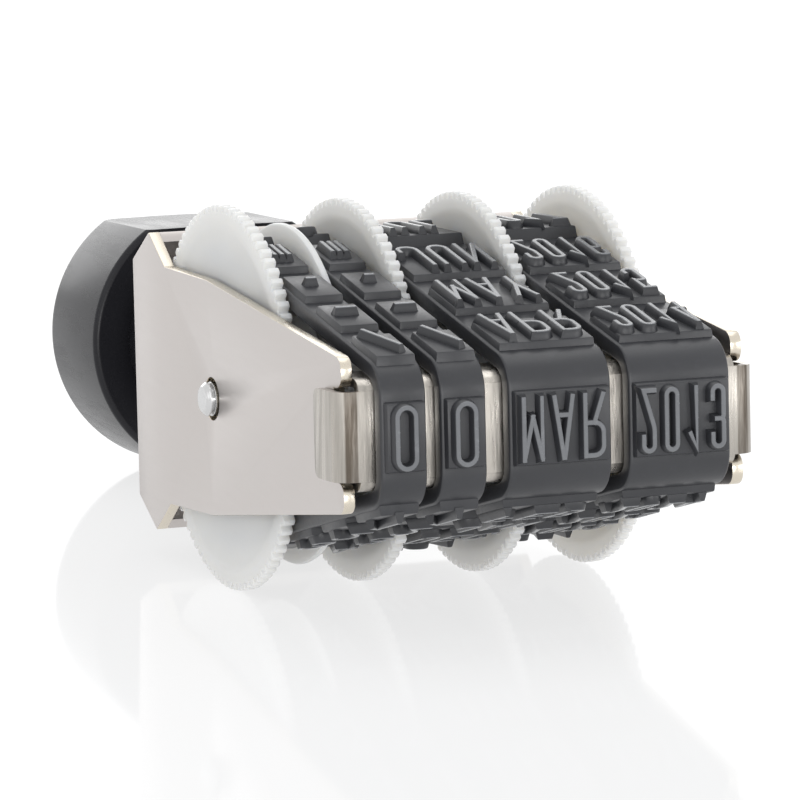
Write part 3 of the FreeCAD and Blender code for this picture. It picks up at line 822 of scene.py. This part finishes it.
def band_loop(bm, width):
    """The band itself: an edge across it is drawn out and turned along its path."""
    outer = CORNER_RADIUS + BAND_THICKNESS
    lean = run_lean()
    front = CORNER_Y - outer
    edges = chain(bm, [(0, front, -CORNER_Z), (width, front, -CORNER_Z)])

    def draw(edges, step):
        made = bmesh.ops.extrude_edge_only(bm, edges=edges)["geom"]
        verts = [part for part in made if isinstance(part, bmesh.types.BMVert)]
        bmesh.ops.translate(bm, vec=step, verts=verts)
        return [bm.edges.get(verts)]

    def swing(edges, centre, angle, steps):
        parts = list(edges[0].verts) + edges
        made = bmesh.ops.spin(
            bm, geom=parts, cent=centre, axis=(1, 0, 0), angle=angle, steps=steps
        )["geom_last"]
        return [part for part in made if isinstance(part, bmesh.types.BMEdge)]

    back = Vector((0, math.cos(lean), math.sin(lean))) * run_length()
    home = Vector((0, -math.cos(lean), math.sin(lean))) * run_length()
    edges = draw(edges, (0, 0, 2 * CORNER_Z))
    edges = swing(edges, (0, CORNER_Y, CORNER_Z), -(math.pi / 2 - lean), 9)
    edges = draw(edges, back)
    edges = swing(edges, (0, 0, 0), -(math.pi + 2 * lean), 60)
    edges = draw(edges, home)
    swing(edges, (0, CORNER_Y, -CORNER_Z), -(math.pi / 2 - lean), 9)
    bmesh.ops.remove_doubles(bm, verts=bm.verts, dist=0.01)
    bmesh.ops.recalc_face_normals(bm, faces=bm.faces)
    bmesh.ops.solidify(bm, geom=bm.faces, thickness=BAND_THICKNESS)
    bmesh.ops.recalc_face_normals(bm, faces=bm.faces)
    rims = sharp_edges(bm, 60)
    soften(bm, rims, 0.16, 3)


def plate_mesh(width, length, sizes):
    """Raised plate with drafted sides and a softened top, standing on z = 0."""
    height = sizes.plate_height * 1000
    bm = bmesh.new()
    bmesh.ops.create_cube(bm, size=1.0)
    sink = 0.4
    scale = (width - 0.24, length, height + sink)
    bmesh.ops.scale(bm, vec=scale, verts=bm.verts)
    bmesh.ops.translate(bm, vec=(0, 0, (height - sink) / 2), verts=bm.verts)
    top = [vert for vert in bm.verts if vert.co.z > 0]
    drawn = (1 - 0.24 / width, 1 - 0.34 / length, 1)
    bmesh.ops.scale(bm, vec=drawn, verts=top)
    rim = [edge for edge in bm.edges if edge.verts[0].co.z > 0 or edge.verts[1].co.z > 0]
    soften(bm, rim, 0.09, 2)
    return as_mesh(bm, "plate")


def rounded_path(corners, width, height):
    """Points along a stroke, with its corners rounded; and whether it closes."""
    closed = corners[-1] is None
    corners = [corner for corner in corners if corner is not None]
    spots = [Vector((x * width, y * height)) for x, y, _ in corners]
    count = len(spots)
    most = width * 0.5
    points = []
    for index, (spot, corner) in enumerate(zip(spots, corners)):
        end = not closed and index in (0, count - 1)
        if end or corner[2] == 0:
            points.append(spot)
            continue
        before = spots[index - 1] - spot
        after = spots[(index + 1) % count] - spot
        opening = before.angle(after)
        reach = min(most * corner[2], before.length / 2, after.length / 2)
        radius = reach * math.tan(opening / 2)
        start = spot + before.normalized() * reach
        stop = spot + after.normalized() * reach
        bisector = (before.normalized() + after.normalized()).normalized()
        centre = spot + bisector * (radius / math.sin(opening / 2))
        steps = max(2, round(6 * (math.pi - opening) / (math.pi / 2)))
        ray = start - centre
        sweep = ray.angle_signed(stop - centre)
        for step in range(steps + 1):
            turned = ray.copy()
            turned.rotate(Matrix.Rotation(-sweep * step / steps, 2))
            points.append(centre + turned)
    kept = [points[0]]
    for point in points[1:]:
        if (point - kept[-1]).length > 0.02:
            kept.append(point)
    if closed and (kept[0] - kept[-1]).length < 0.02:
        kept.pop()
    return kept, closed


# Softened edge of the type, how deep it reaches into its plate, and how far a bend may stretch
TYPE_SOFT = 0.035
TYPE_SINK = 0.15
LONGEST_MITRE = 2.2


def stroke(bm, corners, width, height, sizes, sunk):
    """One raised stroke: a drafted section drawn along its path."""
    points, closed = rounded_path(corners, width, height)
    top = sizes.stroke_width * 500
    foot = top + sizes.stroke_draft * 1000
    rise = sizes.type_relief * 1000 - sunk
    half = [(top - TYPE_SOFT, rise), (top, rise - TYPE_SOFT), (foot, 0.0), (foot, -TYPE_SINK)]
    section = [(-off, z) for off, z in reversed(half)] + half
    count = len(points)
    rings = []
    for index, point in enumerate(points):
        before = points[index - 1] if closed or index else None
        after = points[(index + 1) % count] if closed or index < count - 1 else None
        towards = (after - point).normalized() if after is not None else None
        came = (point - before).normalized() if before is not None else None
        if towards is None:
            aim, stretch = came, 1.0
            point = point + came * top
        elif came is None:
            aim, stretch = towards, 1.0
            point = point - towards * top
        else:
            aim = (came + towards).normalized()
            stretch = min(LONGEST_MITRE, 1 / max(0.2, aim.dot(came)))
        side = Vector((aim.y, -aim.x)) * stretch
        ring = [(point.x + side.x * off, -(point.y + side.y * off), z) for off, z in section]
        rings.append(ring)
    if not closed:
        draft = foot - top
        for ring, inner, outer in ((0, 1, 0), (-1, -2, -1)):
            aim = (points[outer] - points[inner]).normalized()
            slid = []
            for (x, y, z), (off, _) in zip(rings[ring], section):
                share = 1.0 if z <= 0 else 0.0
                slid.append((x + aim.x * draft * share, y - aim.y * draft * share, z))
            rings[ring] = slid
    loops = []
    for ring in rings:
        made = [bm.verts.new(spot) for spot in ring]
        loops.append([bm.edges.new(pair) for pair in zip(made, made[1:] + made[:1])])
    for start, end in zip(loops, loops[1:] + loops[:1] if closed else loops[1:]):
        bmesh.ops.bridge_loops(bm, edges=start + end)
    if not closed:
        for edges in (loops[0], loops[-1]):
            bm.faces.new([edge.verts[0] for edge in edges])


def type_mesh(letter, width, height, sizes):
    """Raised letter, its feet on z = 0, centred, its head towards -y."""
    bm = bmesh.new()
    line = (sizes.stroke_width + 2 * sizes.stroke_draft) * 1000
    inner_width = width - line
    inner_height = height - line
    for order, corners in enumerate(STROKES[letter]):
        stroke(bm, corners, inner_width, inner_height, sizes, 0.012 * order)
    bmesh.ops.translate(bm, vec=(-inner_width / 2, inner_height / 2, 0), verts=bm.verts)
    bmesh.ops.recalc_face_normals(bm, faces=bm.faces)
    return as_mesh(bm, "type")


def add_mesh(bm, mesh, matrix, top=None):
    """Append a mesh in its place; what lies higher than top gets the second material."""
    known = len(bm.verts)
    faces = len(bm.faces)
    bm.from_mesh(mesh)
    bm.verts.ensure_lookup_table()
    bm.faces.ensure_lookup_table()
    for face in bm.faces[faces:]:
        shows = top is not None and face.calc_center_median().z > top
        face.material_index = 1 if shows else 0
    bmesh.ops.transform(bm, matrix=matrix, verts=bm.verts[known:])


class DATESTAMP_OT_bands(bpy.types.Operator):
    """The four rubber bands with their plates and raised type"""

    bl_idname = "datestamp.bands"
    bl_label = "Rubber bands"

    def execute(self, context):
        sizes = context.scene.datestamp_sizes
        colours = context.scene.datestamp_colours
        rubber = moulded_rubber("band_rubber", colours.band_rubber, 0.36, 0.10)
        face = moulded_rubber("type_face", colours.type_face, 0.25, 0.20)
        height = sizes.type_height * 1000
        plate_height = sizes.plate_height * 1000
        top = sizes.type_relief * 1000 - 0.05
        pitches = (0.0, 0.0, sizes.letter_pitch * 1000, sizes.year_pitch * 1000)
        shift = sizes.type_shift * 1000
        table = zip(NAMES, TEXTS, PLATE_LENGTHS, pitches, LETTER_WIDTHS)
        for name, text, length, pitch, letter_width in table:
            node = "band_" + name
            left, right = span(node)
            width = right - left
            bm = bmesh.new()
            band_loop(bm, width)
            bmesh.ops.translate(bm, vec=(left, 0, 0), verts=bm.verts)
            bm = renewed(bm)
            plate = plate_mesh(width, length, sizes)
            letters = {}
            for index, word in enumerate(text):
                spot = place_on_band(loop_length() * index / len(text))
                middle = Matrix.Translation(((left + right) / 2, 0, 0))
                add_mesh(bm, plate, middle @ spot)
                for order, letter in enumerate(word):
                    if letter not in letters:
                        letters[letter] = type_mesh(letter, letter_width, height, sizes)
                    along = (order - (len(word) - 1) / 2) * pitch - shift
                    raised = Matrix.Translation((along, 0, plate_height))
                    add_mesh(bm, letters[letter], middle @ spot @ raised, top)
            for mesh in [plate] + list(letters.values()):
                bpy.data.meshes.remove(mesh)
            materials = [rubber, face]
            made = put_down(
                bm, "rubber_" + node, materials, "stamp", [node], turned_out=False
            )
            if len(made.data.polygons) > MOST_FACES:
                raise RuntimeError(node + " has too many faces")
        return {"FINISHED"}


# Handle and what is inside


class DATESTAMP_OT_handle(bpy.types.Operator):
    """Black turned handle with one flat"""

    bl_idname = "datestamp.handle"
    bl_label = "Handle"

    def execute(self, context):
        colours = context.scene.datestamp_colours
        points = [
            (0, BACK_Y + SCREW_BORE_END),
            (SCREW_BORE_RADIUS, BACK_Y + SCREW_BORE_END),
            (SCREW_BORE_RADIUS, BACK_Y + INSERT_END),
            (INSERT_BORE_RADIUS, BACK_Y + INSERT_END),
            (INSERT_BORE_RADIUS, BACK_Y + INSERT_START),
            (SCREW_BORE_RADIUS, BACK_Y + INSERT_START),
            (SCREW_BORE_RADIUS, BACK_Y),
            (NECK_FOOT_RADIUS - 0.25, BACK_Y),
            (NECK_FOOT_RADIUS, BACK_Y + 0.25),
        ]
        start = BACK_Y + NECK_FOOT_LENGTH
        end = KNOB_FRONT_Y + KNOB_DISH
        for step in range(25):
            share = step / 24
            waist = (1 + math.cos(2 * math.pi * share)) / 2
            radius = NECK_RADIUS + (NECK_FOOT_RADIUS - NECK_RADIUS) * waist
            points.append((radius, start + (end - start) * share))
        front = KNOB_FRONT_ROUNDING
        rim = KNOB_RIM_ROUNDING
        points += quarter((KNOB_RADIUS - front, KNOB_FRONT_Y + front), front, -math.pi / 2, 8)
        points += quarter((KNOB_RADIUS - rim, KNOB_BACK_Y - rim), rim, 0.0, 10)
        edge = KNOB_RADIUS - rim
        for step in range(1, 25):
            share = 1 - step / 24
            points.append((edge * share, KNOB_BACK_Y + KNOB_DOME_RISE * (1 - share**2)))
        bm = bmesh.new()
        lathe(bm, [(0, y, radius) for radius, y in points], (0, 1, 0), 128)
        parts = list(bm.verts) + list(bm.edges) + list(bm.faces)
        bmesh.ops.bisect_plane(
            bm,
            geom=parts,
            dist=0.0001,
            plane_co=(0, 0, KNOB_FLAT_HEIGHT),
            plane_no=(0, 0, 1),
            clear_outer=True,
        )
        open_edges = [edge for edge in bm.edges if edge.is_boundary]
        flats = bmesh.ops.edgeloop_fill(bm, edges=open_edges)["faces"]
        bmesh.ops.recalc_face_normals(bm, faces=bm.faces)
        rims = [edge for edge in bm.edges if any(face in flats for face in edge.link_faces)]
        soften(bm, rims, 0.28, 3)
        gloss = gloss_plastic("handle_gloss", colours.handle_gloss)
        put_down(bm, "handle_knob", [gloss], "stamp", ["handle"], crease=30)
        return {"FINISHED"}


class DATESTAMP_OT_inner_parts(bpy.types.Operator):
    """Finishes of the drums, the threaded insert, the screw and its washer"""

    bl_idname = "datestamp.inner_parts"
    bl_label = "Inner parts"

    def execute(self, context):
        colours = context.scene.datestamp_colours
        ivory = moulded_plastic("drum_ivory", shade(colours.wheel_ivory, 0.96))
        brass = plain_metal("insert_brass", colours.insert_brass, 0.35)
        zinc = plain_metal("screw_zinc", colours.screw_zinc, 0.4)
        finishes = {"drum_" + name: ivory for name in NAMES}
        finishes["handle_insert"] = brass
        finishes["handle_screw"] = zinc
        finishes["handle_washer"] = zinc
        for node, material in finishes.items():
            solid = frame["nodes"][node]
            if solid.material_slots:
                for slot in solid.material_slots:
                    slot.material = material
            else:
                solid.data.materials.append(material)
        return {"FINISHED"}


# Stage


# Lamps: name, place, what they aim at, size, and share of the lamp power
LAMPS = (
    ("lamp_above", (0.05, 0.10, 0.50), (0, -0.01, 0.01), (0.45, 0.45), 0.55),
    ("lamp_left", (-0.50, -0.22, 0.24), (0, -0.01, 0.012), (0.35, 0.35), 0.20),
    ("lamp_low", (-0.16, -0.62, 0.08), (0, -0.01, 0.004), (0.60, 0.14), 1.10),
    ("lamp_right", (0.44, -0.42, 0.08), (0, -0.01, 0.004), (0.40, 0.14), 0.50),
    ("lamp_behind", (0.18, 0.70, 0.22), (0, 0, 0.012), (0.90, 0.36), 1.40),
)


def lamp(name, spot, aim, size, power):
    light = bpy.data.lights.new(name, "AREA")
    light.shape = "RECTANGLE"
    light.size = size[0]
    light.size_y = size[1]
    light.energy = power
    made = bpy.data.objects.new(name, light)
    made.location = spot
    made.visible_camera = False
    made.rotation_mode = "QUATERNION"
    made.rotation_quaternion = (Vector(aim) - Vector(spot)).to_track_quat("-Z", "Y")
    bpy.context.scene.collection.objects.link(made)


# How much of the floor glows, and how much more of it for what the camera sees
FLOOR_GLOW = 0.63
SEEN_GLOW = 0.12


def floor_finish(brightness, gloss):
    """Pale glazed floor: light to the eye, but it keeps the stamp's shadow and reflection."""
    made = Finish("floor_glaze")
    cloud = made.noise(3, 2)
    shown = made.blend(cloud, (0.86, 0.865, 0.875), (0.88, 0.88, 0.885))
    board = made.node(
        "ShaderNodeBsdfPrincipled",
        {},
        {"Base Color": shown, "Roughness": gloss, "Specular IOR Level": 0.5},
    )
    glow = made.node("ShaderNodeEmission", {}, {"Color": (1, 1, 1, 1), "Strength": brightness})
    share = made.seen() * SEEN_GLOW + FLOOR_GLOW
    made.out(made.node("ShaderNodeMixShader", {}, {0: share, 1: board, 2: glow}))
    return made.material


def sky(level):
    world = bpy.data.worlds.new("studio")
    bpy.context.scene.world = world
    world.use_nodes = True
    made = Shading(world.node_tree)
    soft = {"Color": (0.97, 0.985, 1.0, 1), "Strength": level}
    white = {"Color": (1, 1, 1, 1), "Strength": 1.0}
    values = {
        0: made.seen(),
        1: made.node("ShaderNodeBackground", {}, soft),
        2: made.node("ShaderNodeBackground", {}, white),
    }
    shown = made.node("ShaderNodeMixShader", {}, values)
    made.node("ShaderNodeOutputWorld", {}, {"Surface": shown})


class DATESTAMP_OT_stage(bpy.types.Operator):
    """Floor, soft lamps, white surroundings and the camera"""

    bl_idname = "datestamp.stage"
    bl_label = "Stage"

    def execute(self, context):
        stage = context.scene.datestamp_stage
        bm = bmesh.new()
        bmesh.ops.create_grid(bm, x_segments=8, y_segments=8, size=2.5)
        mesh = as_mesh(bm, "floor")
        mesh.materials.append(floor_finish(stage.floor_brightness, stage.floor_roughness))
        floor = bpy.data.objects.new("floor", mesh)
        context.scene.collection.objects.link(floor)
        sky(stage.sky_level)
        for name, spot, aim, size, share in LAMPS:
            lamp(name, spot, aim, size, share * stage.lamp_power)
        turned = stage.azimuth
        raised = stage.elevation
        back = Vector(
            (
                math.sin(turned) * math.cos(raised),
                -math.cos(turned) * math.cos(raised),
                math.sin(raised),
            )
        )
        right = Vector((math.cos(turned), math.sin(turned), 0))
        up = back.cross(right)
        data = bpy.data.cameras.new("view")
        data.lens = stage.lens
        data.sensor_width = 36.0
        data.clip_start = 0.01
        data.clip_end = 20.0
        camera = bpy.data.objects.new("view", data)
        target = AXLE + right * stage.slide_right + up * stage.slide_up
        camera.location = target + back * stage.distance
        camera.rotation_mode = "QUATERNION"
        camera.rotation_quaternion = (-back).to_track_quat("-Z", "Y")
        context.scene.collection.objects.link(camera)
        context.scene.camera = camera
        context.scene.view_settings.view_transform = "Standard"
        return {"FINISHED"}


# What a user may change


def length(name, description, default, least=0.0):
    return FloatProperty(
        name=name, description=description, default=default, min=least, unit="LENGTH", precision=5
    )


def bearing(name, description, degrees):
    return FloatProperty(
        name=name, description=description, default=math.radians(degrees), subtype="ANGLE"
    )


def measure(name, description, default, most=1.0):
    return FloatProperty(name=name, description=description, default=default, min=0.0, max=most)


def colour(name, description, default):
    return FloatVectorProperty(
        name=name, description=description, default=default, size=3, min=0, max=1, subtype="COLOR"
    )


class DateStampSizes(bpy.types.PropertyGroup):
    sheet_edge: length("Sheet edge", "How far the edges of the sheet steel are softened", 0.00007)
    tab_corner: length("Tab corner", "Rounding of the corners of the bridge's tabs", 0.00055)
    plate_height: length("Plate height", "How far a plate stands on its band", 0.00042)
    type_height: length("Type height", "Height of the letters and numerals", 0.0039)
    type_relief: length("Type relief", "How far the type stands on its plate", 0.00048)
    stroke_width: length("Stroke width", "Width of a stroke at the printing surface", 0.00027)
    stroke_draft: length("Stroke draft", "How far each side of a stroke flares", 0.00013)
    letter_pitch: length("Letter pitch", "Step between the letters of a month", 0.00184)
    year_pitch: length("Numeral pitch", "Step between the numerals of a year", 0.00141)
    type_shift: length("Type shift", "How far the type stands off its plate's middle", 0.00015)


class DateStampColours(bpy.types.PropertyGroup):
    frame_steel: colour("Frame", "Satin plated sheet of the frame", (0.595, 0.56, 0.54))
    cut_edge: colour("Cut edges", "Bare edges of the frame's sheet", (0.70, 0.64, 0.54))
    bridge_steel: colour("Bridge", "Brushed strip of the bridge", (0.60, 0.565, 0.515))
    axle_steel: colour("Axle", "Bright turned axle", (0.66, 0.66, 0.66))
    wheel_ivory: colour("Wheels", "Moulded wheels, drums and divider", (0.68, 0.675, 0.655))
    band_rubber: colour("Bands", "Rubber of the bands", (0.030, 0.031, 0.035))
    type_face: colour("Type", "Printing surface of the raised type", (0.145, 0.15, 0.16))
    handle_gloss: colour("Handle", "Polished handle", (0.016, 0.016, 0.019))
    insert_brass: colour("Insert", "Threaded insert in the handle", (0.72, 0.56, 0.30))
    screw_zinc: colour("Screw", "Screw and washer", (0.62, 0.62, 0.63))


class DateStampStage(bpy.types.PropertyGroup):
    azimuth: bearing("Azimuth", "Turn of the camera round the stamp", -21.82)
    elevation: bearing("Elevation", "Angle of the camera over the floor", 10.13)
    distance: length("Distance", "From the axle's level to the camera", 0.34087)
    slide_right: length("Slide right", "Camera shift to the right of the axle", -0.00028, -1.0)
    slide_up: length("Slide up", "Camera shift above the axle", -0.00086, -1.0)
    lens: FloatProperty(
        name="Lens", description="Focal length in millimetres", default=260.32, min=1.0
    )
    lamp_power: measure("Lamp power", "Strength of all lamps together", 1.0, 100.0)
    sky_level: measure("Surroundings", "Light of the white surroundings", 0.85, 10.0)
    floor_brightness: measure("Floor brightness", "How bright the floor looks; 1 is white", 1.0)
    floor_roughness: measure("Floor roughness", "How blurred the floor's reflection is", 0.07)


class DATESTAMP_PT_panel(bpy.types.Panel):
    """Pieces and values of the date stamp"""

    bl_idname = "DATESTAMP_PT_panel"
    bl_label = "Date stamp"
    bl_space_type = "VIEW_3D"
    bl_region_type = "UI"
    bl_category = "Date stamp"

    def draw(self, context):
        layout = self.layout
        for operator in OPERATORS:
            layout.operator(operator.bl_idname)
        scene = context.scene
        for group in (scene.datestamp_sizes, scene.datestamp_colours, scene.datestamp_stage):
            column = layout.column()
            for name in group.__annotations__:
                column.prop(group, name)


OPERATORS = (
    DATESTAMP_OT_frame,
    DATESTAMP_OT_bridge,
    DATESTAMP_OT_axle,
    DATESTAMP_OT_wheels,
    DATESTAMP_OT_divider,
    DATESTAMP_OT_bands,
    DATESTAMP_OT_handle,
    DATESTAMP_OT_inner_parts,
    DATESTAMP_OT_stage,
)
CLASSES = (DateStampSizes, DateStampColours, DateStampStage) + OPERATORS + (DATESTAMP_PT_panel,)


def register():
    for kind in CLASSES:
        bpy.utils.register_class(kind)
    bpy.types.Scene.datestamp_sizes = PointerProperty(type=DateStampSizes)
    bpy.types.Scene.datestamp_colours = PointerProperty(type=DateStampColours)
    bpy.types.Scene.datestamp_stage = PointerProperty(type=DateStampStage)


def unregister():
    del bpy.types.Scene.datestamp_stage
    del bpy.types.Scene.datestamp_colours
    del bpy.types.Scene.datestamp_sizes
    for kind in reversed(CLASSES):
        bpy.utils.unregister_class(kind)


def main():
    register()
    bpy.ops.datestamp.frame()
    bpy.ops.datestamp.bridge()
    bpy.ops.datestamp.axle()
    bpy.ops.datestamp.wheels()
    bpy.ops.datestamp.divider()
    bpy.ops.datestamp.bands()
    bpy.ops.datestamp.handle()
    bpy.ops.datestamp.inner_parts()
    bpy.ops.datestamp.stage()


if __name__ == "__main__":
    main()
